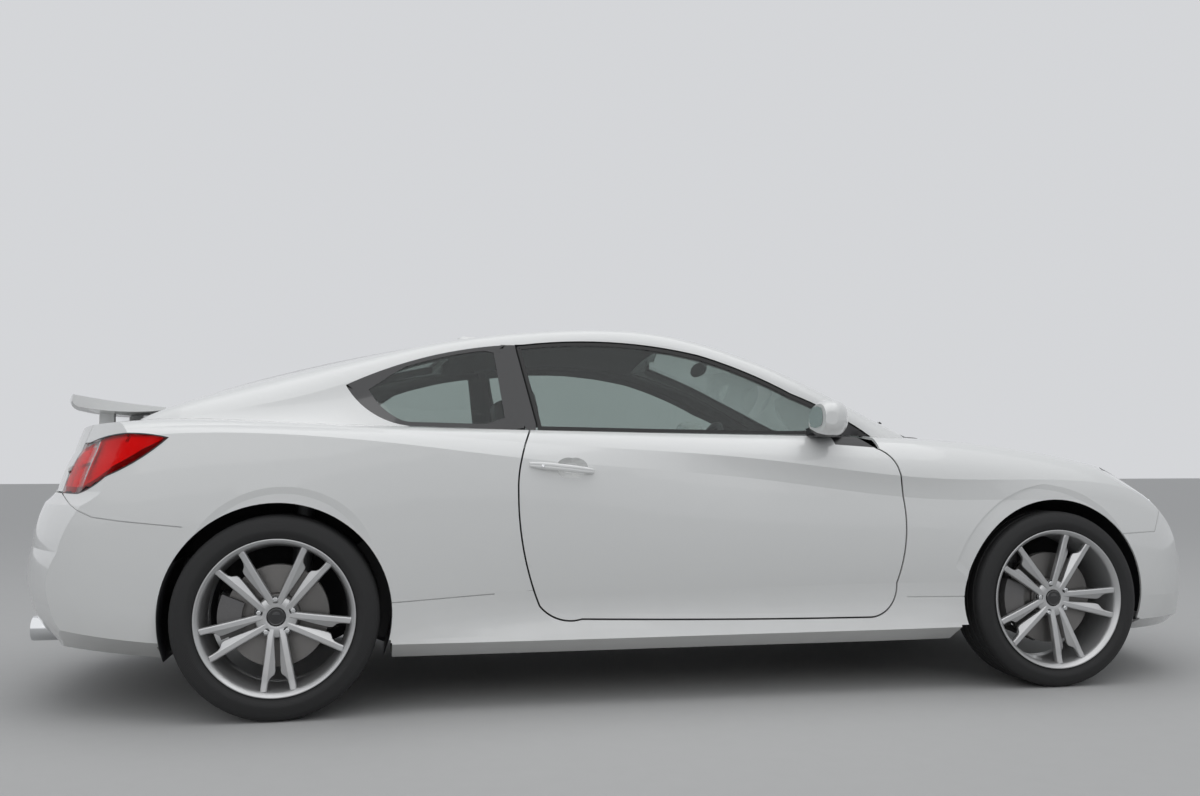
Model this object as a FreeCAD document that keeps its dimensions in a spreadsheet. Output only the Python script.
# Coupe car, two doors, on four wheels.
# Millimetres. +X is forward, +Y is the car's left, +Z is up, the ground is z = 0.

import FreeCAD, Part
import math
import os

from FreeCAD import Vector

os.makedirs("parts", exist_ok=True)
doc = FreeCAD.newDocument("coupe_car")
sheet = doc.addObject("Spreadsheet::Sheet", "sizes")

# Driving sizes
SIZES = [
    ("body_length", 4630),
    ("front_axle_x", 1465),
    ("rear_axle_x", -1355),
    ("front_wheel_y", 800),
    ("rear_wheel_y", 806),
    ("front_tyre_radius", 326),
    ("rear_tyre_radius", 334),
    ("front_tyre_width", 224),
    ("rear_tyre_width", 244),
    ("rim_lip_radius", 257),
    ("bead_radius", 246),
    ("front_arch_radius", 370),
    ("rear_arch_radius", 374),
    ("liner_gap", 16),
    ("liner_wall", 6),
    ("shut_gap", 6),
    ("seam_width", 3.5),
    ("seam_depth", 5),
    ("arch_lip", 60),
    ("seat_gap", 0.3),
    ("side_wall", 66),
    ("door_lap", 16),
    ("roof_wall", 32),
    ("panel_wall", 9),
    ("lid_wall", 22),
    ("glass_wall", 5),
    ("lamp_wall", 45),
    ("nose_bow_radius", 1400),
    ("tail_bow_radius", 1450),
    ("door_hinge_x", 820),
    ("door_hinge_y", 897),
    ("kingpin_y", 735),
    ("engine_length", 580),
    ("engine_width", 520),
    ("engine_height", 500),
    ("propshaft_radius", 32),
    ("propshaft_length", 2384.4),
    ("steering_wheel_radius", 178),
    ("steering_rim_radius", 14),
    ("brake_disc_radius", 168),
]
for number, (alias, value) in enumerate(SIZES, start=1):
    cell = "B%d" % number
    sheet.set("A%d" % number, alias)
    sheet.set(cell, str(value))
    sheet.setAlias(cell, alias)
doc.recompute()


def size(alias):
    return float(sheet.get(alias))


HALF = size("body_length") / 2
GAP = size("shut_gap")
SEAT_GAP = size("seat_gap")

# Body sections, one row a station along the car. Half widths y and heights z of: b floor edge,
# s foot of the side, a top of the hollow above it, w widest point, l and u lower and upper crease,
# t edge of the top, zc top centre. ba, bl and bu are how far the spans to a, u and t bow outward.
BODY_COLUMNS = ("x", "zb", "yb", "ys", "zs", "ya", "za", "ba", "yw", "zw", "yl", "zl", "yu", "zu", "bl",
                "yt", "zt", "bu", "zc")
BODY_ROWS = [
    (2400, 200, 330, 420, 240, 441, 320, 1, 449, 425, 432, 520, 412, 572, 3, 330, 640, 9, 655),
    (2250, 190, 490, 570, 238, 592, 325, 1, 600, 430, 582, 545, 556, 603, 3, 450, 675, 11, 700),
    (2130, 182, 600, 690, 236, 711, 325, 1, 718, 440, 704, 562, 678, 625, 3, 570, 708, 12, 752),
    (1980, 178, 680, 796, 235, 824, 325, 1, 832, 450, 816, 600, 790, 680, 4, 670, 760, 14, 806),
    (1800, 178, 730, 858, 235, 876, 330, 1, 886, 470, 870, 665, 850, 735, 3, 730, 808, 16, 852),
    (1465, 178, 770, 888, 235, 900, 370, -3, 915, 540, 901, 700, 890, 770, 2, 762, 876, 20, 912),
    (1000, 178, 800, 893, 232, 882, 395, -10, 904, 560, 894, 700, 906, 776, -2, 790, 920, 26, 962),
    (300, 178, 800, 895, 232, 876, 392, -14, 901, 580, 885, 778, 892, 850, -2, 800, 938, 14, 975),
    (-500, 178, 800, 895, 232, 878, 392, -14, 906, 590, 903, 848, 866, 905, 3, 805, 952, 7, 985),
    (-1000, 178, 795, 899, 235, 903, 400, -5, 922, 620, 911, 906, 868, 944, 3, 810, 964, 5, 1000),
    (-1355, 178, 780, 903, 240, 914, 400, -3, 932, 640, 909, 933, 862, 960, 3, 806, 977, 5, 1012),
    (-1750, 190, 720, 868, 260, 888, 380, 2, 906, 600, 874, 930, 840, 958, 3, 782, 984, 5, 1016),
    (-2000, 215, 660, 800, 290, 826, 400, 2, 843, 570, 806, 902, 780, 935, 3, 730, 962, 5, 990),
    (-2160, 232, 570, 676, 310, 702, 400, 2, 722, 560, 694, 880, 668, 912, 3, 630, 934, 4, 955),
    (-2300, 240, 430, 530, 320, 554, 400, 2, 570, 560, 546, 862, 520, 890, 3, 490, 906, 3, 922),
    (-2420, 245, 300, 370, 325, 388, 400, 2, 400, 560, 384, 850, 366, 872, 3, 340, 884, 3, 896),
]

# Cabin sections: x, half width at the foot, f where the pillar's own curve starts and how far it
# bows outward up to k, the glass top edge, then the roof edge r and the roof centre
CABIN_COLUMNS = ("x", "yb", "yf", "zf", "bf", "yk", "zk", "yr", "zr", "zc")
CABIN_ROWS = [
    (1280, 640, 610, 760, 1, 590, 800, 530, 838, 872),
    (1080, 700, 678, 800, 1, 665, 858, 600, 918, 980),
    (880, 745, 725, 820, 1, 712, 900, 648, 985, 1090),
    (600, 790, 748, 850, 2, 690, 1056, 612, 1132, 1224),
    (300, 822, 763, 880, 3, 664, 1184, 578, 1258, 1326),
    (0, 838, 772, 900, 4, 650, 1268, 560, 1330, 1380),
    (-300, 846, 777, 900, 4, 645, 1284, 556, 1338, 1385),
    (-600, 850, 777, 905, 4, 650, 1262, 556, 1312, 1354),
    (-900, 852, 774, 915, -2, 668, 1206, 562, 1262, 1306),
    (-1200, 852, 850, 945, -26, 708, 1100, 582, 1192, 1246),
    (-1500, 846, 860, 948, -18, 748, 1024, 604, 1112, 1166),
    (-1750, 800, 800, 930, -5, 738, 968, 618, 1030, 1072),
    (-1940, 750, 716, 790, -2, 680, 880, 590, 930, 962),
    (-2090, 690, 655, 745, -2, 620, 790, 550, 820, 845),
]
CABIN_FOOT = 700


def named_rows(columns, rows):
    return [dict(zip(columns, row)) for row in rows]


def wire_of(edges):
    return Part.Wire([edge.toShape() for edge in edges])


def bowed(start, end, bow):
    """Middle of a span from start to end (y, z), pushed out to its right by bow."""
    y, z = end[0] - start[0], end[1] - start[1]
    length = math.hypot(y, z)
    return ((start[0] + end[0]) / 2 + bow * z / length, (start[1] + end[1]) / 2 - bow * y / length)


def mirrored_wire(x, spans):
    """A closed section from its left half: spans (start, end) or (start, middle, end) from the floor up."""
    edges = [Part.LineSegment(Vector(x, -spans[0][0][0], spans[0][0][1]),
                              Vector(x, spans[0][0][0], spans[0][0][1]))]
    for span in spans:
        points = [Vector(x, y, z) for y, z in span]
        edges.append(Part.Arc(*points) if len(span) == 3 else Part.LineSegment(*points))
    for span in reversed(spans):
        if span[-1][0] < 1e-6 or len(span) == 3 and span[1][0] == 0:
            continue
        points = [Vector(x, -y, z) for y, z in reversed(span)]
        edges.append(Part.Arc(*points) if len(span) == 3 else Part.LineSegment(*points))
    return wire_of(edges)


def body_section(row, inset):
    b = (row["yb"] - inset, row["zb"] + inset)
    s = (row["ys"] - inset, row["zs"] + inset * 0.3)
    a = (row["ya"] - inset, row["za"])
    w = (row["yw"] - inset, row["zw"])
    l = (row["yl"] - inset, row["zl"] - inset * 0.6)
    u = (row["yu"] - inset * 0.8, row["zu"] - inset * 0.75)
    t = (row["yt"] - inset * 0.7, row["zt"] - inset)
    return mirrored_wire(row["x"], [
        (b, s),
        (s, bowed(s, a, row["ba"]), a),
        (a, w, l),
        (l, bowed(l, u, row["bl"]), u),
        (u, bowed(u, t, row["bu"]), t),
        (t, (0, row["zc"] - inset), (-t[0], t[1])),
    ])


def cabin_section(row, inset):
    foot = (row["yb"] - inset, CABIN_FOOT)
    f = (row["yf"] - inset, row["zf"] - inset * 0.4)
    k = (row["yk"] - inset, row["zk"] - inset * 0.4)
    r = (row["yr"] - inset * 0.6, row["zr"] - inset * 0.9)
    m = ((k[0] + r[0]) / 2 + 15, (k[1] + r[1]) / 2 + 15)
    return mirrored_wire(row["x"], [
        (foot, f),
        (f, bowed(f, k, row["bf"]), k),
        (k, m, r),
        (r, (0, row["zc"] - inset), (-r[0], r[1])),
    ])


# Nose and tail profiles on the centre plane, turned about an upright axis for their bow. Each
# arc runs over three points and shares its last one with the next arc.
NOSE_PROFILE = [
    (2255, 100), (2283, 178), (2297, 230), (2315, 380), (2297, 530), (2258, 625), (2190, 705),
    (2060, 800), (1900, 900),
]
TAIL_PROFILE = [
    (2180, 100), (2205, 190), (2240, 250), (2280, 305), (2302, 370), (2315, 460), (2302, 550),
    (2287, 635), (2262, 701), (2240, 722), (2222, 746), (2200, 820), (2172, 880), (2146, 960), (2110, 1050),
]
BOW_FOOT = 40
BOW_TOP = 1600


def bow_solid(profile, radius, inset, way):
    axis = HALF - radius
    points = [Vector(x - inset, 0, z) for x, z in profile]
    low = Vector(points[0].x, 0, BOW_FOOT)
    high = Vector(points[-1].x, 0, BOW_TOP)
    edges = [Part.LineSegment(Vector(axis, 0, BOW_FOOT), low), Part.LineSegment(low, points[0])]
    for first in range(0, len(points) - 2, 2):
        edges.append(Part.Arc(*points[first:first + 3]))
    edges.append(Part.LineSegment(points[-1], high))
    edges.append(Part.LineSegment(high, Vector(axis, 0, BOW_TOP)))
    edges.append(Part.LineSegment(Vector(axis, 0, BOW_TOP), Vector(axis, 0, BOW_FOOT)))
    solid = Part.Face(wire_of(edges)).revolve(Vector(axis, 0, 0), Vector(0, 0, 1), 360)
    solid = solid.fuse(Part.makeBox(axis + 3100, 2400, 1700, Vector(-3000, -1200, -50)))
    if way < 0:
        solid = solid.mirror(Vector(0, 0, 0), Vector(1, 0, 0))
    return solid


def body_mass(inset):
    loft = Part.makeLoft([body_section(row, inset) for row in named_rows(BODY_COLUMNS, BODY_ROWS)], True)
    nose = bow_solid(NOSE_PROFILE, size("nose_bow_radius"), inset, 1)
    tail = bow_solid(TAIL_PROFILE, size("tail_bow_radius"), inset, -1)
    return loft.common(nose).common(tail)


def cabin_mass(inset):
    return Part.makeLoft([cabin_section(row, inset) for row in named_rows(CABIN_COLUMNS, CABIN_ROWS)], True)


def outline(start, steps):
    edges = []
    here = start
    for step in steps:
        if len(step) == 1:
            there = step[0]
            edges.append(Part.LineSegment(Vector(here[0], here[1], 0), Vector(there[0], there[1], 0)))
        else:
            middle, there = step
            edges.append(Part.Arc(
                Vector(here[0], here[1], 0),
                Vector(middle[0], middle[1], 0),
                Vector(there[0], there[1], 0)))
        here = there
    if math.hypot(here[0] - start[0], here[1] - start[1]) > 0.01:
        edges.append(Part.LineSegment(Vector(here[0], here[1], 0), Vector(start[0], start[1], 0)))
    return Part.Face(wire_of(edges))


def polygon(points):
    return outline(points[0], [(point,) for point in points[1:]])


def side_prism(face, y_from, y_to):
    """Stands a side-view face (x, z) up and gives it a depth along Y."""
    stood = face.copy()
    stood.rotate(Vector(0, 0, 0), Vector(1, 0, 0), 90)
    stood.translate(Vector(0, y_from, 0))
    return stood.extrude(Vector(0, y_to - y_from, 0))


def plan_prism(face, z_from, z_to):
    laid = face.copy()
    laid.translate(Vector(0, 0, z_from))
    return laid.extrude(Vector(0, 0, z_to - z_from))


def front_prism(face, x_from, x_to):
    """Stands a front-view face (y, z) up and gives it a depth along X."""
    stood = face.copy()
    stood.rotate(Vector(0, 0, 0), Vector(1, 0, 0), 90)
    stood.rotate(Vector(0, 0, 0), Vector(0, 0, 1), 90)
    stood.translate(Vector(x_from, 0, 0))
    return stood.extrude(Vector(x_to - x_from, 0, 0))


def flipped(shape):
    return shape.mirror(Vector(0, 0, 0), Vector(0, 1, 0))


def box(x_from, x_to, y_from, y_to, z_from, z_to):
    return Part.makeBox(x_to - x_from, y_to - y_from, z_to - z_from, Vector(x_from, y_from, z_from))


def rod(start, end, radius):
    a = Vector(*start)
    b = Vector(*end)
    return Part.makeCylinder(radius, (b - a).Length, a, b - a)


def joined(shapes):
    whole = shapes[0]
    for shape in shapes[1:]:
        whole = whole.fuse(shape)
    return whole


def main_solids(shape, smallest=20000):
    """Drops slivers that a cut leaves beside the panel."""
    solids = [solid for solid in shape.Solids if solid.Volume > smallest]
    if len(solids) == 1:
        return solids[0]
    return Part.makeCompound(solids)


def pair(shape):
    return Part.makeCompound(list(shape.Solids) + list(flipped(shape).Solids))


parts = []


def put(label, shape):
    feature = doc.addObject("Part::Feature", label)
    feature.Label = label
    feature.Shape = shape
    feature.Placement = shape.Placement
    parts.append(feature)
    return feature


# Masses that the panels are cut from
BODY_OUT = body_mass(0)
CABIN_OUT = cabin_mass(0)
CABIN_IN = cabin_mass(size("roof_wall"))
CABIN_LID_IN = cabin_mass(size("lid_wall"))
BODY_IN = {}
for alias in ("panel_wall", "lid_wall", "lamp_wall", "side_wall"):
    BODY_IN[alias] = body_mass(size(alias))

# Side-view outlines
DOOR = outline((-498, 1100), [
    ((-506, 966),),
    ((-548, 868), (-564, 737)),
    ((-541, 519), (-486, 344)),
    ((-440, 306), (-335, 294)),
    ((349, 277), (717, 273)),
    ((806, 310), (833, 396)),
    ((865, 618), (839, 811)),
    ((812, 862), (770, 891)),
    ((690, 960),),
    ((690, 1100),),
])
DOOR_SHRUNK = DOOR.makeOffset2D(-GAP)
DOOR_INNER = DOOR.makeOffset2D(-GAP - size("door_lap"))

SIDE_GLASS_TOP = [
    ((-850, 1224), (-520, 1272)),
    ((-200, 1288), (148, 1244)),
    ((340, 1178), (506, 1100)),
    ((700, 1008), (880, 886)),
]
SIDE_GLASS = outline((-1148, 1112), SIDE_GLASS_TOP + [
    ((880, 800),),
    ((-520, 800),),
    ((-520, 962),),
    ((-600, 950),),
    ((-800, 952), (-960, 972)),
    ((-1080, 1030), (-1148, 1112)),
])
B_POST_FRONT = [(-483, 700), (-483, 977), (-515, 1118), (-544, 1249), (-560, 1400)]
B_POST_WIDE = 34


def wheel_hole(x, z, radius, y_from, y_to):
    return Part.makeCylinder(radius, y_to - y_from, Vector(x, y_from, z), Vector(0, 1, 0))


ARCH_CUT = joined([
    wheel_hole(size("front_axle_x"), size("front_tyre_radius"), size("front_arch_radius"), 400, 1200),
    wheel_hole(size("rear_axle_x"), size("rear_tyre_radius"), size("rear_arch_radius"), 440, 1200),
])
ARCH_CUT = ARCH_CUT.fuse(flipped(ARCH_CUT))
ARCH_FEET = joined([
    box(size("front_axle_x") - size("front_arch_radius") - 18, size("front_axle_x") + size("front_arch_radius") + 4,
        400, 1200, 0, 240),
    box(size("rear_axle_x") - size("rear_arch_radius") - 4, size("rear_axle_x") + size("rear_arch_radius"),
        440, 1200, 0, 240),
])
ARCH_FEET = ARCH_FEET.fuse(flipped(ARCH_FEET))
ARCHES = ARCH_CUT.fuse(ARCH_FEET)

BODY_SEAM = body_mass(size("seam_depth"))


def arch_lip(x, z, radius, y, depth):
    """What the rolled lip round an arch takes off the skin: a shallow cone about the axle."""
    wide = radius + size("arch_lip")
    cone = Part.makeCone(radius, wide, depth, Vector(x, y - depth, z), Vector(0, 1, 0))
    return cone.fuse(wheel_hole(x, z, wide, y, 1200))


def seam(points):
    """A thin upright slot along a side-view line."""
    half = size("seam_width") / 2
    slots = []
    for (x0, z0), (x1, z1) in zip(points, points[1:]):
        length = math.hypot(x1 - x0, z1 - z0)
        dx, dz = (x1 - x0) / length * half, (z1 - z0) / length * half
        slots.append(side_prism(polygon([
            (x0 - dx - dz, z0 - dz + dx), (x1 + dx - dz, z1 + dz + dx),
            (x1 + dx + dz, z1 + dz - dx), (x0 - dx + dz, z0 - dz - dx)]), 400, 1200))
    return joined(slots)


FRONT_MARKS = joined([
    arch_lip(size("front_axle_x"), size("front_tyre_radius"), size("front_arch_radius"), 896, 5),
    seam([(1700, 563), (1915, 569), (1990, 690)]),
    seam([(838, 345), (1110, 342)]),
]).cut(BODY_SEAM)
REAR_MARKS = joined([
    arch_lip(size("rear_axle_x"), size("rear_tyre_radius"), size("rear_arch_radius"), 930, 10),
    seam([(-1650, 632), (-1844, 652), (-1934, 665), (-1990, 690), (-2100, 736)]),
    seam([(-985, 372), (-500, 400)]),
]).cut(BODY_SEAM)

# Where each panel of the lower body lies, seen from the side
SILL_FACE = polygon([(-985, 100), (-985, 250), (-640, 250), (-640, 400), (-470, 400), (-470, 330),
                     (760, 330), (760, 400), (872, 400), (872, 250), (1110, 250), (1110, 100)])
FENDER_FACE = polygon([(872, 250), (872, 400), (780, 400), (780, 1100), (1900, 1100), (2060, 800),
                       (1990, 690), (1915, 569), (1700, 563), (1700, 250)])
FRONT_BUMPER_FACE = polygon([(1700, 100), (1700, 563), (1915, 569), (1990, 690), (2060, 800),
                             (1900, 1100), (2500, 1100), (2500, 100)])
QUARTER_FACE = polygon([(-470, 400), (-640, 400), (-640, 250), (-1650, 250), (-1650, 632), (-1844, 652),
                        (-1934, 665), (-1990, 690), (-2100, 736), (-2500, 736), (-2500, 1100), (-470, 1100)])
REAR_BUMPER_FACE = polygon([(-1650, 100), (-1650, 632), (-1844, 652), (-1934, 665), (-1990, 690),
                            (-2100, 736), (-2500, 736), (-2500, 100)])

# Plan-view outlines of the two lids
HOOD_PLAN = outline((1000, -712), [
    ((1465, -692), (1800, -655)),
    ((1990, -604), (2085, -540)),
    ((2190, 0), (2085, 540)),
    ((1990, 604), (1800, 655)),
    ((1465, 692), (1000, 712)),
    ((1150, 0), (1000, -712)),
])
HOOD_SHRUNK = HOOD_PLAN.makeOffset2D(-GAP)
LID_PLAN = outline((-1712, -615), [
    ((-1745, 0), (-1712, 615)),
    ((-1900, 600), (-2060, 560)),
    ((-2600, 540),),
    ((-2600, -540),),
    ((-2060, -560),),
    ((-1900, -600), (-1712, -615)),
])
LID_SHRUNK = LID_PLAN.makeOffset2D(-GAP)
LID_FOOT = 736


def lid_zone(face, foot):
    return plan_prism(face, foot, 1200)


HOOD_ZONE = plan_prism(HOOD_PLAN, 600, 1200)
LID_ZONE = lid_zone(LID_PLAN, LID_FOOT)

# Lamps, seen from the side; a plan limit keeps them at the corners
HEADLAMP_FACE = outline((1760, 806), [
    ((1900, 768), (2000, 700)),
    ((2060, 640), (2120, 604)),
    ((2240, 590),),
    ((2300, 640),),
    ((2215, 678),),
    ((2060, 766), (1940, 812)),
    ((1850, 826), (1760, 806)),
])
HEADLAMP_ZONE = side_prism(HEADLAMP_FACE, 530, 1200)
TAIL_LAMP_FACE = outline((-1700, 922), [
    ((-1780, 857), (-1898, 793)),
    ((-1960, 755), (-2010, 737)),
    ((-2400, 737),),
    ((-2400, 905),),
    ((-2000, 910),),
    ((-1860, 936), (-1700, 922)),
])
TAIL_LAMP_ZONE = side_prism(TAIL_LAMP_FACE, 330, 1200)

COWL_ZONE = plan_prism(outline((1000, -712), [
    ((1150, 0), (1000, 712)),
    ((905, 625),),
    ((1055, 0), (905, -625)),
]), 700, 1200)
DOOR_ZONE = side_prism(DOOR, 300, 1200)

def panel(face, wall, extra_cuts, y_from=430, y_to=1200):
    zone = side_prism(face, y_from, y_to)
    shape = BODY_OUT.common(zone).cut(BODY_IN[wall])
    for tool in extra_cuts:
        shape = shape.cut(tool)
    return main_solids(shape)


fender = panel(FENDER_FACE, "panel_wall",
               [ARCHES, HOOD_ZONE, COWL_ZONE, DOOR_ZONE, HEADLAMP_ZONE, FRONT_MARKS], 560)
put("front_fenders", pair(fender))

quarter = panel(QUARTER_FACE, "side_wall", [ARCHES, LID_ZONE, DOOR_ZONE, TAIL_LAMP_ZONE, REAR_MARKS], 535)
put("quarter_panels", pair(quarter))

sill = panel(SILL_FACE, "side_wall", [ARCHES, DOOR_ZONE], 700)
put("side_sills", pair(sill))


def end_panel(face, wall, cuts):
    shape = BODY_OUT.common(side_prism(face, -1200, 1200)).cut(BODY_IN[wall])
    for tool in cuts:
        shape = shape.cut(tool)
    return main_solids(shape)


HEADLAMP_ZONES = HEADLAMP_ZONE.fuse(flipped(HEADLAMP_ZONE))
TAIL_LAMP_ZONES = TAIL_LAMP_ZONE.fuse(flipped(TAIL_LAMP_ZONE))

# Air intakes in the nose
GRILLE_FACE = outline((-470, 610), [
    ((0, 650), (470, 610)),
    ((500, 560), (460, 520)),
    ((-460, 520),),
    ((-500, 560), (-470, 610)),
])
INTAKE_FACE = outline((-640, 250), [
    ((-660, 380),),
    ((-600, 410), (-520, 415)),
    ((520, 415),),
    ((600, 410), (660, 380)),
    ((640, 250),),
])
GRILLE_ZONE = front_prism(GRILLE_FACE, 1900, 2500)
INTAKE_ZONE = front_prism(INTAKE_FACE, 1900, 2500)

front_bumper = end_panel(FRONT_BUMPER_FACE, "panel_wall",
                         [ARCHES, HOOD_ZONE, HEADLAMP_ZONES, GRILLE_ZONE, INTAKE_ZONE,
                          FRONT_MARKS, flipped(FRONT_MARKS)])
put("front_bumper", front_bumper)
PIPE_Y = 360
PIPE_Z = 250
PIPE_HOLES = joined([rod((-2400, side * PIPE_Y, PIPE_Z), (-2000, side * PIPE_Y, PIPE_Z), 50) for side in (1, -1)])
UNDER_TAIL = box(-2205, -1640, -600, 600, 150, 262)
rear_bumper = end_panel(REAR_BUMPER_FACE, "panel_wall",
                        [ARCHES, LID_ZONE, TAIL_LAMP_ZONES, PIPE_HOLES, UNDER_TAIL,
                         REAR_MARKS, flipped(REAR_MARKS)])
lid_stops = joined([box(-2197, -2175, y, y + 20, 724, LID_FOOT + GAP - SEAT_GAP) for y in (280, -300)])
put("rear_bumper", main_solids(rear_bumper.fuse(lid_stops)))

# Bars across both air intakes
grilles = []
bars = BODY_IN["panel_wall"].cut(BODY_IN["lamp_wall"])
for low, high, count, face in ((520, 650, 5, GRILLE_FACE), (250, 415, 6, INTAKE_FACE)):
    band = bars.common(front_prism(face.makeOffset2D(12), 1900, 2500))
    pitch = (high - low) / count
    slats = []
    for index in range(count):
        z = low + pitch * (index + 0.5)
        slats.append(box(1900, 2500, -700, 700, z - 5, z + 5))
    slats.append(box(1900, 2500, -6, 6, low, high))
    grilles.append(band.common(joined(slats)))
put("grilles", main_solids(Part.makeCompound(grilles), 5000))

headlamp = BODY_OUT.common(HEADLAMP_ZONE).cut(BODY_IN["lamp_wall"]).cut(HOOD_ZONE)
put("headlamps", pair(main_solids(headlamp)))
tail_lamp = BODY_OUT.common(TAIL_LAMP_ZONE).cut(BODY_IN["lamp_wall"]).cut(LID_ZONE)
put("tail_lamps", pair(main_solids(tail_lamp)))

# Scuttle between hood and windshield, with the wipers parked on it
COWL_TOP = 1 + size("glass_wall")
cowl = body_mass(COWL_TOP).fuse(cabin_mass(COWL_TOP)).common(COWL_ZONE)
cowl = cowl.cut(BODY_IN["lid_wall"].fuse(CABIN_LID_IN))
put("cowl", main_solids(cowl))

# Roof with its posts, and the glass let into it
WINDSHIELD_FACE = outline((905, -600), [
    ((600, -588), (215, -520)),
    ((150, 0), (215, 520)),
    ((600, 588), (905, 600)),
    ((1078, 0), (905, -600)),
])
REAR_GLASS_FACE = outline((-800, -505), [
    ((-1200, -530), (-1640, -555)),
    ((-1720, 0), (-1640, 555)),
    ((-1200, 530), (-800, 505)),
    ((-740, 0), (-800, -505)),
])
WINDSHIELD_ZONE = plan_prism(WINDSHIELD_FACE, 700, 1500)
REAR_GLASS_ZONE = plan_prism(REAR_GLASS_FACE, 700, 1500)
SIDE_GLASS_ZONE = side_prism(SIDE_GLASS, 400, 1200)
SIDE_GLASS_ZONES = SIDE_GLASS_ZONE.fuse(flipped(SIDE_GLASS_ZONE))

b_post_face = polygon(B_POST_FRONT + [(x - B_POST_WIDE, z) for x, z in reversed(B_POST_FRONT)])
b_post_zone = side_prism(b_post_face, 400, 1200)
B_POSTS = b_post_zone.fuse(flipped(b_post_zone))

cabin_shell = CABIN_OUT.cut(CABIN_IN).cut(BODY_OUT)
windows = SIDE_GLASS_ZONES.cut(B_POSTS)
roof = cabin_shell.cut(windows).cut(WINDSHIELD_ZONE).cut(REAR_GLASS_ZONE).cut(LID_ZONE).cut(COWL_ZONE)
roof = roof.cut(box(1000, 1500, -1200, 1200, 0, 1500))
put("roof", main_solids(roof, 200000))

glass_shell = cabin_mass(1).cut(cabin_mass(1 + size("glass_wall"))).cut(BODY_OUT)
put("windshield", main_solids(glass_shell.common(WINDSHIELD_ZONE)))
put("rear_window", main_solids(glass_shell.common(REAR_GLASS_ZONE).cut(LID_ZONE)))

side_pane = glass_shell.common(SIDE_GLASS_ZONE)
front_post_cut = side_prism(polygon([(x - B_POST_WIDE, z) for x, z in B_POST_FRONT] + [(1200, 1400), (1200, 700)]),
                            400, 1200)
quarter_pane = side_pane.cut(front_post_cut)
put("quarter_windows", pair(main_solids(quarter_pane)))

door_pane_face = SIDE_GLASS.makeOffset2D(-GAP)
behind_post = side_prism(polygon([(x + GAP, z) for x, z in B_POST_FRONT] + [(-1600, 1400), (-1600, 700)]),
                         400, 1200)
door_pane = glass_shell.common(side_prism(door_pane_face, 400, 1200)).cut(behind_post)
door_pane = main_solids(door_pane)
put("door_glass_left", door_pane)
put("door_glass_right", flipped(door_pane))

# Doors: a thin skin out to the shut line and a thick inner part that stops short of it
door_skin = BODY_OUT.common(side_prism(DOOR_SHRUNK, 500, 1200)).cut(BODY_IN["panel_wall"])
door_core = BODY_OUT.common(side_prism(DOOR_INNER, 500, 1200)).cut(BODY_IN["side_wall"])
hinge_limit = box(size("door_hinge_x") - 22, 1400, 0, 1200, 0, 1400)
door_core = door_core.cut(hinge_limit)
door = door_skin.fuse(door_core).cut(box(-1500, 1500, 0, 690, 0, 1400))


def oval(y, x, z, a, b):
    corner = 0.76
    side_points = []
    for u, v in ((1, 0), (corner, corner), (0, 1), (-corner, corner), (-1, 0), (-corner, -corner), (0, -1),
                 (corner, -corner), (1, 0)):
        side_points.append(Vector(x + a * u, y, z + b * v))
    return wire_of([Part.Arc(*side_points[k:k + 3]) for k in (0, 2, 4, 6)])


handle_well = Part.makeLoft([oval(*row) for row in (
    (874, -373, 822, 24, 14), (884, -373, 822, 42, 25), (897, -373, 822, 53, 33), (925, -373, 822, 66, 42),
)], True)
door = main_solids(door.cut(handle_well))
put("door_left", door)
put("door_right", flipped(door))

def bar_section(x, y, z, thick, tall):
    return wire_of([
        Part.Arc(Vector(x, y - thick, z), Vector(x, y, z + tall), Vector(x, y + thick, z)),
        Part.Arc(Vector(x, y + thick, z), Vector(x, y, z - tall), Vector(x, y - thick, z)),
    ])


HANDLE_COLUMNS = ("x", "y", "z", "half thickness", "half height")
HANDLE_ROWS = [
    (-524, 908, 831, 4, 8), (-490, 915, 828, 7, 12), (-420, 918, 821, 8, 13),
    (-340, 916, 812, 7, 12), (-300, 908, 807, 4, 8),
]
handle = joined([
    Part.makeLoft([bar_section(*row) for row in HANDLE_ROWS], True),
    rod((-500, 880, 829), (-500, 914, 829), 8),
    rod((-316, 880, 809), (-316, 912, 809), 8),
]).cut(BODY_OUT)
put("handle_left", main_solids(handle, 100))
put("handle_right", flipped(main_solids(handle, 100)))

mirror_cap = Part.makeLoft([oval(*row) for row in (
    (836, 566, 980, 22, 20), (856, 560, 984, 48, 44), (910, 554, 990, 64, 62), (975, 546, 994, 62, 62),
    (1015, 534, 994, 46, 46), (1034, 524, 992, 22, 22),
)], True)
mirror_cap = mirror_cap.cut(box(300, 502, 800, 1100, 800, 1200))
mirror_arm = Part.makeLoft([
    wire_of([
        Part.LineSegment(Vector(520, 800, 935), Vector(660, 800, 935)),
        Part.LineSegment(Vector(660, 800, 935), Vector(660, 800, 960)),
        Part.LineSegment(Vector(660, 800, 960), Vector(520, 800, 960)),
        Part.LineSegment(Vector(520, 800, 960), Vector(520, 800, 935)),
    ]),
    wire_of([
        Part.LineSegment(Vector(515, 880, 950), Vector(590, 880, 950)),
        Part.LineSegment(Vector(590, 880, 950), Vector(590, 880, 975)),
        Part.LineSegment(Vector(590, 880, 975), Vector(515, 880, 975)),
        Part.LineSegment(Vector(515, 880, 975), Vector(515, 880, 950)),
    ]),
], True)
mirror = mirror_cap.fuse(mirror_arm).cut(BODY_OUT).cut(CABIN_OUT)
put("mirror_left", main_solids(mirror))
put("mirror_right", flipped(main_solids(mirror)))

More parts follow.
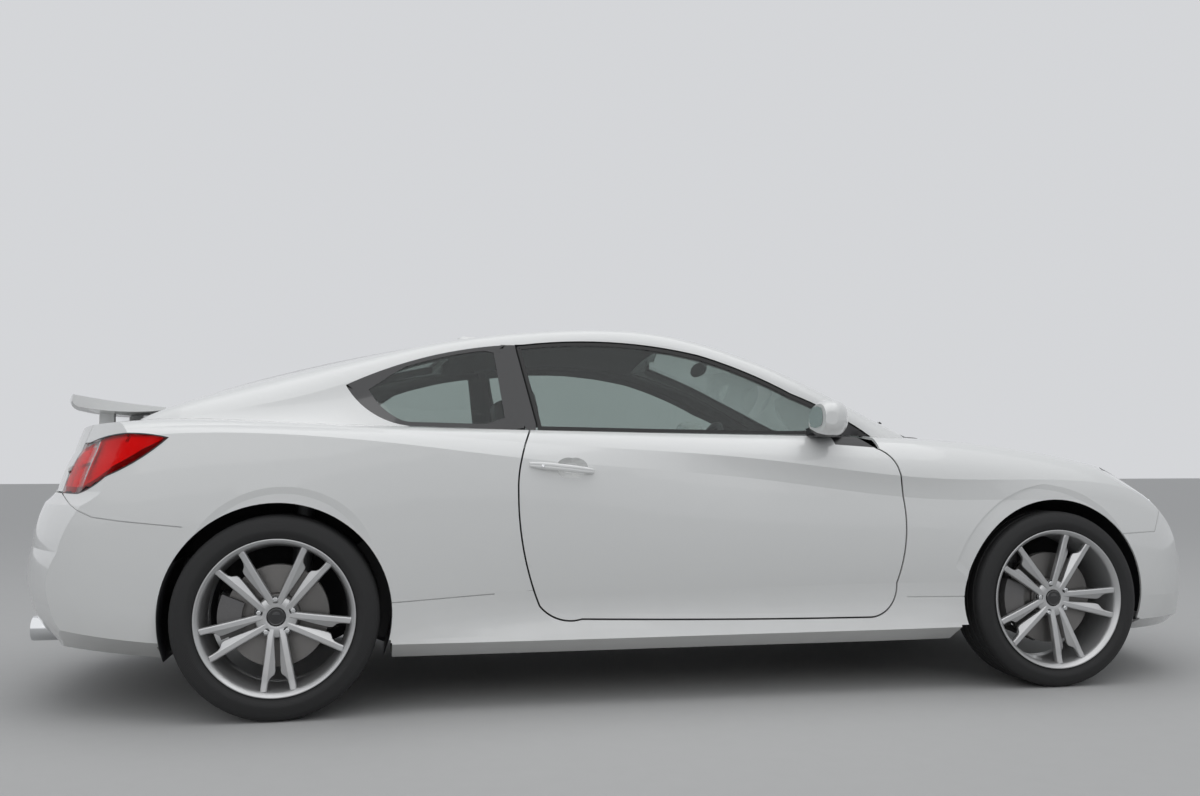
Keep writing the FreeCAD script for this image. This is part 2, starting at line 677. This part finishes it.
# Hood, trunk lid and its spoiler
hood = BODY_OUT.common(plan_prism(HOOD_SHRUNK, 600, 1200)).cut(BODY_IN["lid_wall"]).cut(CABIN_OUT)
hood = hood.cut(box(0, 3000, -1200, 1200, 0, 690))
put("hood", main_solids(hood))

lid_front = plan_prism(LID_SHRUNK, LID_FOOT + GAP, 1300)
lid_mass = BODY_OUT.fuse(CABIN_OUT.common(box(-2100, -1700, -700, 700, 700, 1200)))
lid = lid_mass.common(lid_front).cut(BODY_IN["lid_wall"])
lid = lid.cut(CABIN_LID_IN.common(box(-2100, -1600, -700, 700, 700, 1200)))
put("trunk_lid", main_solids(lid))

def blade_section(y, x, z, rise):
    def at(back, up):
        return Vector(x - back, y, z + up * rise)
    return wire_of([
        Part.Arc(at(0, 0), at(150, -6), at(280, 8)),
        Part.Arc(at(280, 8), at(308, 26), at(306, 50)),
        Part.Arc(at(306, 50), at(160, 26), at(0, 9)),
        Part.LineSegment(at(0, 9), at(0, 0)),
    ])


# Trailing blade across the lid: y, front edge x and z, rise
SPOILER_ROWS = [
    (-575, -1768, 1026, 1.05), (-300, -1832, 1020, 1.35), (0, -1846, 1024, 1.4),
    (300, -1832, 1020, 1.35), (575, -1768, 1026, 1.05),
]
spoiler = Part.makeLoft([blade_section(*row) for row in SPOILER_ROWS], True).cut(lid_mass)
feet = joined([box(-2010, -1960, y - 12, y + 12, 930, 1036) for y in (-470, 0, 470)]).cut(lid_mass)
put("spoiler", main_solids(spoiler.fuse(feet)))

# Floor, tunnel, bulkheads and trunk floor
floor = joined([
    box(-960, 1050, -700, 700, 180, 200),
    box(-960, 1050, -130, -118, 200, 400),
    box(-960, 1050, 118, 130, 200, 400),
    box(-960, 1050, -130, 130, 390, 402),
    box(1030, 1050, -700, 700, 200, 840),
    box(-985, -960, -700, 700, 180, 560),
    box(-1700, -960, -420, 420, 395, 410),
    box(-2180, -1690, -560, 560, 300, 315),
    box(-1705, -1690, -560, 560, 300, 410),
    box(-1700, -1010, -560, -545, 395, 930),
    box(-1700, -1010, 545, 560, 395, 930),
    box(-1700, -960, 410, 560, 395, 410),
    box(-1700, -960, -560, -410, 395, 410),
])
floor = floor.cut(box(-990, 1060, -118, 118, 170, 390))
liner_reach = size("liner_gap") + size("liner_wall") + 1
liner_holes = joined([
    wheel_hole(size("rear_axle_x"), size("rear_tyre_radius"), size("rear_arch_radius") + liner_reach, 580, 1200),
    wheel_hole(size("front_axle_x"), size("front_tyre_radius"), size("front_arch_radius") + liner_reach, 480, 1200),
])
hinge_posts = box(888, 1035, 690, 840, 246, 900)
floor = floor.fuse(hinge_posts).fuse(flipped(hinge_posts))
inside_walls = BODY_IN["side_wall"].fuse(box(-985, 1050, -700, 700, 170, 300))
floor = floor.common(inside_walls).cut(liner_holes).cut(flipped(liner_holes))
put("floor_pan", main_solids(floor))

# Engine as one block
engine = doc.addObject("Part::Box", "engine_block")
engine.Label = "engine_block"
engine.setExpression("Length", "sizes.engine_length")
engine.setExpression("Width", "sizes.engine_width")
engine.setExpression("Height", "sizes.engine_height")
engine.Placement = FreeCAD.Placement(Vector(1140, -260, 280), FreeCAD.Rotation())
parts.append(engine)

propshaft = doc.addObject("Part::Cylinder", "propshaft")
propshaft.Label = "propshaft"
propshaft.setExpression("Radius", "sizes.propshaft_radius")
propshaft.setExpression("Height", "sizes.propshaft_length")
propshaft.Placement = FreeCAD.Placement(Vector(-1244.7, 0, 310), FreeCAD.Rotation(Vector(0, 1, 0), 90))
parts.append(propshaft)

# Wheel arch liners
liners = []
for x, z, radius, inner in (
    (size("front_axle_x"), size("front_tyre_radius"), size("front_arch_radius"), 490),
    (size("rear_axle_x"), size("rear_tyre_radius"), size("rear_arch_radius"), 590),
):
    tall = radius + size("liner_gap")
    ring = wheel_hole(x, z, tall + size("liner_wall"), inner, 880)
    ring = ring.cut(wheel_hole(x, z, tall, inner, 880))
    ring = ring.cut(box(x - 600, x + 600, 0, 1000, 0, 196))
    ring = ring.common(BODY_IN["side_wall" if x < 0 else "panel_wall"])
    low_edge = box(x - 600, x + 600, 0, 1000, 0, 262)
    liners.append(ring.cut(low_edge).fuse(ring.common(low_edge).common(BODY_IN["side_wall"])))
liners = main_solids(Part.makeCompound(liners))
put("arch_liners", pair(liners))


def caliper(x, y, z):
    outer = wheel_hole(x, z, 190, y - 22, y + 50)
    shape = outer.cut(wheel_hole(x, z, 112, y - 30, y + 60))
    wedge = side_prism(polygon([(x, z), (x - 260, z + 110), (x - 260, z - 110)]), y - 40, y + 60)
    shape = shape.common(wedge)
    slot = wheel_hole(x, z, size("brake_disc_radius") + 6, y - 1, y + 39)
    return shape.cut(slot)


# Suspension and subframes
FX = size("front_axle_x")
FZ = size("front_tyre_radius")
RX = size("rear_axle_x")
RZ = size("rear_tyre_radius")
KY = size("kingpin_y")
front_arms = [
    box(FX - 70, FX + 70, -430, 430, 205, 280),
    box(1050, 2020, 425, 475, 275, 350),
    box(1050, 2020, -475, -425, 275, 350),
    box(1995, 2020, -475, 475, 275, 660),
]
for y in (-400, 400):
    stop = box(1998, 2018, y - 10, y + 10, 640, 900).common(BODY_IN["lid_wall"])
    stop.translate(Vector(0, 0, -SEAT_GAP))
    front_arms.append(stop)
for side in (1, -1):
    front_arms.append(rod((FX - 90, 380 * side, 225), (FX, (KY - 4) * side, 160), 13))
    front_arms.append(rod((FX + 60, 380 * side, 225), (FX, (KY - 4) * side, 160), 13))
    front_arms.append(rod((FX, KY * side, 155), (FX, KY * side, 176), 22))
    front_arms.append(rod((FX - 40, 600 * side, 190), (FX - 10, 600 * side, 709), 20))
    front_arms.append(rod((FX - 26, 600 * side, 440), (FX - 12, 600 * side, 700), 34))
put("front_suspension", joined(front_arms))

rear_arms = [box(RX - 90, RX + 110, -400, 400, 215, 270), box(RX - 120, RX + 110, -110, 110, 230, 380)]
for side in (1, -1):
    rear_arms.append(rod((RX - 60, 380 * side, 240), (RX, 735 * side, 210), 14))
    rear_arms.append(rod((RX + 80, 380 * side, 240), (RX, 735 * side, 210), 14))
    rear_arms.append(rod((RX, 100 * side, 325), (RX, 730 * side, RZ), 16))
    rear_arms.append(rod((RX, 715 * side, RZ), (RX, 775 * side, RZ), 58))
    rear_arms.append(box(RX - 28, RX + 28, min(715 * side, 745 * side), max(715 * side, 745 * side), 190, 470))
    rear_arms.append(rod((RX + 60, 640 * side, 235), (RX + 70, 640 * side, 712.5), 20))
    rear_arms.append(rod((RX + 62, 640 * side, 420), (RX + 70, 640 * side, 700), 34))
    rear_arms.append(rod((RX, 700 * side, 222), (RX + 60, 640 * side, 245), 16))
RY = size("rear_wheel_y")
for side in (1, -1):
    rear_arms.append(rod((RX, 770 * side, RZ), (RX, (RY + 32 - SEAT_GAP) * side, RZ), 20))
rear_caliper = caliper(RX, RY, RZ).fuse(box(RX - 180, RX - 20, RY - 62, RY - 14, RZ - 22, RZ + 22))
put("rear_suspension", joined(rear_arms + [rear_caliper, flipped(rear_caliper)]))

# Exhaust with two tail pipes; its pipe hangs at the underside of the rear subframe
PIPE_R = 28
PIPE_LOW = 215 - PIPE_R - SEAT_GAP
exhaust = joined([
    box(-2090, -1760, -420, 420, 215, 285),
    rod((-1780, 60, 250), (-1480, 60, PIPE_LOW), PIPE_R),
    rod((-1480, 60, PIPE_LOW), (-1240, 60, PIPE_LOW), PIPE_R),
    rod((-1240, 60, PIPE_LOW), (-1000, 60, 240), PIPE_R),
    rod((-1000, 60, 240), (1050, 60, 240), PIPE_R),
    rod((-2070, PIPE_Y, PIPE_Z), (-2235, PIPE_Y, PIPE_Z), 42),
    rod((-2070, -PIPE_Y, PIPE_Z), (-2235, -PIPE_Y, PIPE_Z), 42),
])
put("exhaust", exhaust)

# Knuckles with their brake calipers, one for each front wheel
WY = size("front_wheel_y")
knuckle = joined([
    wheel_hole(FX, FZ, 55, WY - 50, WY - 4),
    box(FX - 26, FX + 26, KY - 20, KY + 18, FZ - 144, FZ + 144),
    rod((FX, KY, FZ - 140), (FX, KY, 176 + SEAT_GAP), 8),
    rod((FX, WY - 10, FZ), (FX, WY + 32 - SEAT_GAP, FZ), 20),
    rod((FX - 20, KY, FZ), (FX - 130, KY, FZ - 20), 14),
    caliper(FX, WY, FZ),
    box(FX - 180, FX - 20, WY - 40, WY - 14, FZ - 22, FZ + 22),
])
put("knuckle_left", main_solids(knuckle))
put("knuckle_right", flipped(main_solids(knuckle)))


# Tyres and rims, drawn about the wheel's own centre with +Y outboard
def tyre_shape(radius, width):
    half = width / 2
    bead = size("bead_radius")
    lip = half - 14
    points = [
        ((lip, bead), None, (lip + 1, bead + 15)),
        ((lip + 1, bead + 15), (half, bead + (radius - bead) * 0.5), (half - 13, radius - 7)),
        ((half - 13, radius - 7), (half - 20, radius - 2), (half - 28, radius)),
        ((half - 28, radius), None, (28 - half, radius)),
        ((28 - half, radius), (20 - half, radius - 2), (13 - half, radius - 7)),
        ((13 - half, radius - 7), (-half, bead + (radius - bead) * 0.5), (-lip - 1, bead + 15)),
        ((-lip - 1, bead + 15), None, (-lip, bead)),
        ((-lip, bead), None, (-lip + 14, bead)),
        ((-lip + 14, bead), None, (-lip + 6, radius - 18)),
        ((-lip + 6, radius - 18), None, (lip - 6, radius - 18)),
        ((lip - 6, radius - 18), None, (lip - 14, bead)),
        ((lip - 14, bead), None, (lip, bead)),
    ]
    edges = []
    for start, middle, end in points:
        a = Vector(0, start[0], start[1])
        b = Vector(0, end[0], end[1])
        if middle is None:
            edges.append(Part.LineSegment(a, b))
        else:
            edges.append(Part.Arc(a, Vector(0, middle[0], middle[1]), b))
    return Part.Face(wire_of(edges)).revolve(Vector(0, 0, 0), Vector(0, 1, 0), 360)


def turned(points):
    loop = [Vector(0, y, r) for y, r in points]
    face = Part.Face(Part.makePolygon(loop + [loop[0]]))
    return face.revolve(Vector(0, 0, 0), Vector(0, 1, 0), 360)


def rim_shape(width):
    half = width / 2
    lip = half - 12
    seat = size("bead_radius") - SEAT_GAP
    barrel = turned([
        (lip, size("rim_lip_radius")), (lip + 6, size("rim_lip_radius")), (lip + 6, 247), (lip - 6, 238),
        (lip - 40, 230), (0, 224), (-lip + 20, 230), (-lip - 6, 243), (-lip - 6, size("rim_lip_radius")),
        (-lip, size("rim_lip_radius")), (-lip, seat), (-lip + 16, seat), (-lip + 28, 241), (0, 234),
        (lip - 40, 241), (lip - 16, seat), (lip, seat),
    ])
    face = half - 20
    profile = polygon([
        (30, face - 28), (120, face - 18), (200, face - 6), (243, face), (243, face - 26),
        (200, face - 30), (120, face - 34), (60, face - 46), (30, face - 46),
    ])
    spokes = []
    for index in range(5):
        for lean in (-1, 1):
            spoke = profile.extrude(Vector(0, 0, 21))
            spoke.translate(Vector(0, 0, -10.5))
            spoke.rotate(Vector(45, 0, 0), Vector(0, 1, 0), lean * 5)
            spoke.translate(Vector(0, 0, -lean * 19))
            spoke.rotate(Vector(0, 0, 0), Vector(0, 1, 0), 90 + 72 * index)
            spokes.append(spoke)
    hub = Part.makeCylinder(66, 26, Vector(0, face - 52, 0), Vector(0, 1, 0))
    cap = Part.makeCylinder(33, 34, Vector(0, face - 56, 0), Vector(0, 1, 0))
    hat = Part.makeCylinder(72, face - 52 - 33 + 1, Vector(0, 32, 0), Vector(0, 1, 0))
    disc = turned([(5, 60), (5, size("brake_disc_radius")), (33, size("brake_disc_radius")), (33, 60)])
    inner_limit = Part.makeCylinder(240, 400, Vector(0, -200, 0), Vector(0, 1, 0))
    web = joined([spoke.common(inner_limit) for spoke in spokes])
    return joined([barrel, web, hub, cap, hat, disc])


WHEELS = (
    ("front", FX, WY, FZ, size("front_tyre_width")),
    ("rear", RX, size("rear_wheel_y"), RZ, size("rear_tyre_width")),
)
for end, x, y, z, width in WHEELS:
    tyre = tyre_shape(z, width)
    rim = rim_shape(width)
    for side, sign in (("left", 1), ("right", -1)):
        for kind, shape in (("tyre", tyre), ("wheel", rim)):
            placed = shape.copy()
            if sign < 0:
                placed = flipped(placed)
            placed.translate(Vector(x, y * sign, z))
            put("%s_%s_%s" % (kind, end, side), placed)

# Seats, dashboard and steering wheel
seat = joined([
    side_prism(outline((-290, 330), [
        ((200, 350),), ((235, 400), (215, 440)), ((-180, 395),), ((-235, 420), (-290, 500)),
        ((-420, 960),), ((-450, 985), (-490, 960)), ((-380, 560),), ((-360, 340),),
    ]), 140, 640),
    side_prism(polygon([(-440, 985), (-480, 1120), (-560, 1110), (-520, 975)]), 260, 520),
    box(-330, 180, 180, 600, 200, 345),
])
put("front_seats", pair(main_solids(seat)))
rear_seat = joined([
    side_prism(outline((-900, 402), [
        ((-560, 402),), ((-530, 440), (-560, 470)), ((-880, 440),), ((-1080, 930),), ((-1160, 930),),
        ((-1010, 420),),
    ]), -530, 530),
]).cut(box(-990, -955, -800, 800, 100, 565))
put("rear_seat", main_solids(rear_seat))

dash = side_prism(outline((1000, 500), [
    ((900, 480),), ((700, 560),), ((560, 760),), ((545, 840), (600, 880)), ((820, 900),), ((1000, 880),),
]), -690, 690)
console = box(-380, 720, -115, 115, 402, 560)
STEER_TILT = 64
STEER_AT = Vector(450, 370, 860)
column_way = Vector(math.sin(math.radians(STEER_TILT)), 0, -math.cos(math.radians(STEER_TILT)))
column = Part.makeCylinder(24, 220, STEER_AT + column_way * (34 + SEAT_GAP), column_way)
dash = dash.fuse(console).fuse(column).common(BODY_IN["side_wall"].fuse(CABIN_IN))
put("dashboard", main_solids(dash))

steering = doc.addObject("Part::Torus", "steering_wheel_ring")
steering.setExpression("Radius1", "sizes.steering_wheel_radius")
steering.setExpression("Radius2", "sizes.steering_rim_radius")
hub = doc.addObject("Part::Cylinder", "steering_wheel_hub")
hub.Radius = 62
hub.Height = 44
hub.Placement = FreeCAD.Placement(Vector(0, 0, -34), FreeCAD.Rotation())
arm = doc.addObject("Part::Box", "steering_wheel_arm")
arm.Length = 30
arm.Width = 350
arm.Height = 16
arm.Placement = FreeCAD.Placement(Vector(-15, -175, -14), FreeCAD.Rotation())
wheel = doc.addObject("Part::MultiFuse", "steering_wheel")
wheel.Label = "steering_wheel"
wheel.Shapes = [steering, hub, arm]
wheel.Placement = FreeCAD.Placement(STEER_AT, FreeCAD.Rotation(Vector(0, 1, 0), -STEER_TILT))
parts.append(wheel)

doc.recompute()
for item in doc.Objects:
    if "Invalid" in item.State or "Error" in item.State:
        raise RuntimeError("%s did not compute" % item.Label)
for feature in parts:
    shape = feature.Shape
    if shape.isNull() or not shape.isValid():
        raise RuntimeError("%s has a bad shape" % feature.Label)
    shape.exportStep("parts/%s.step" % feature.Label)
    print("%-20s solids %d  litres %.2f" % (feature.Label, len(shape.Solids), shape.Volume / 1e6))
print(len(parts), "parts")
